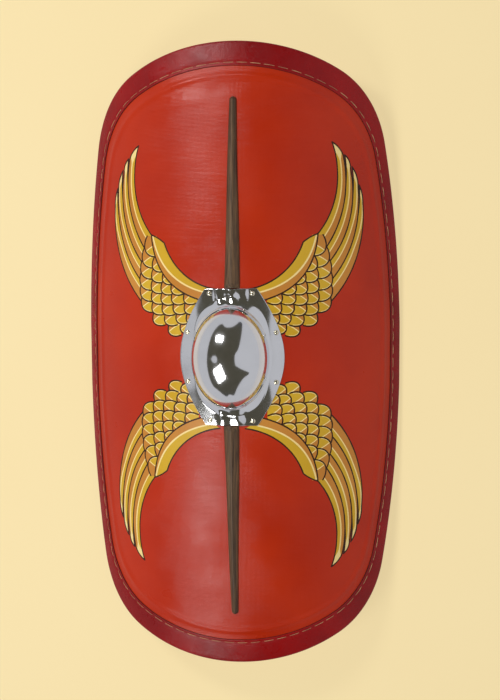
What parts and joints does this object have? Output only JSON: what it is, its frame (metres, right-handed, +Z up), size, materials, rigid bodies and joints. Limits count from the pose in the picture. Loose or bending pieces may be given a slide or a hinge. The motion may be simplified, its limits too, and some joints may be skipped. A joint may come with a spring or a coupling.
{
  "type": "roman scutum shield",
  "caption": "Curved rectangular wooden shield with rounded ends, stitched leather rim, domed steel boss, wooden spines and a hand grip behind the boss.",
  "frame": {"origin": "middle of the footprint on the floor that the shield lies on, convex face up", "axes": "+X towards the shield's right edge seen from the front, +Y towards its top end, +Z up and out of the boss"},
  "size_m": [0.628, 1.18, 0.2197],
  "materials": {
    "painted_board": "satin red paint on canvas-faced plywood",
    "red_leather": "satin",
    "polished_steel": "mirror polish",
    "rivet_metal": "polished",
    "spine_wood": "waxed",
    "grip_wood": "oiled"
  },
  "bodies": {
    "root": {"board": "painted_board", "edging": "red_leather", "boss": "polished_steel", "spine_upper": "spine_wood", "spine_lower": "spine_wood", "hand_grip": "grip_wood", "rivet_1": "rivet_metal", "rivet_2": "rivet_metal", "rivet_3": "rivet_metal", "rivet_4": "rivet_metal", "rivet_5": "rivet_metal", "rivet_6": "rivet_metal", "rivet_7": "rivet_metal", "rivet_8": "rivet_metal", "grip_nail_left": "rivet_metal", "grip_nail_right": "rivet_metal"}
  },
  "joints": []
}
